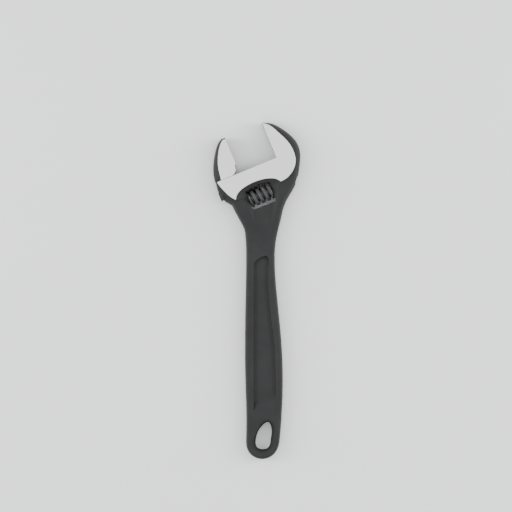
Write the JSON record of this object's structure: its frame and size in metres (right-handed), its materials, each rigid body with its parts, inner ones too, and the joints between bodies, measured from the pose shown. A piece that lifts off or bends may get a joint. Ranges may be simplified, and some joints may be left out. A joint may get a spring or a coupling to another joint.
{
  "type": "adjustable wrench",
  "caption": "Adjustable wrench with a knurled worm that slides the lower jaw, black oxide finish and ground bright head faces.",
  "frame": {"origin": "middle of the underside of the wrench's bounding box, lying flat on its ground head face, with the jaws 30 mm open", "axes": "+Y runs from the handle's end to the head, +Z is the thickness, up from the surface it lies on, +X is towards the fixed jaw's side"},
  "size_m": [0.0658, 0.2542, 0.015],
  "materials": {
    "black_oxide_forging": "black oxide, satin, with head and jaw faces ground bright",
    "black_oxide_screw": "black oxide, semi-gloss, knurled",
    "pin_steel": "black oxide, turned",
    "spring_steel": "drawn wire, oiled"
  },
  "bodies": {
    "forging": {"body": "black_oxide_forging", "worm_pin": "pin_steel", "worm_spring": "spring_steel"},
    "jaw": {"movable_jaw": "black_oxide_forging"},
    "adjuster": {"worm": "black_oxide_screw"}
  },
  "joints": [
    {"name": "worm_turn", "type": "hinge", "parent": "forging", "child": "adjuster", "pos_m": [0.00281, 0.07261, 0.0075], "axis": [0.9239, 0.3827, 0], "range_deg": [-2500.5, 417.17]},
    {"name": "jaw_slide", "type": "slide", "parent": "forging", "child": "jaw", "axis": [-0.9239, -0.3827, 0], "range_m": [-0.03, 0.005]}
  ],
  "couplings": [
    {"joint": "worm_turn", "follows": "jaw_slide", "rad_per_m": 1454.4}
  ]
}
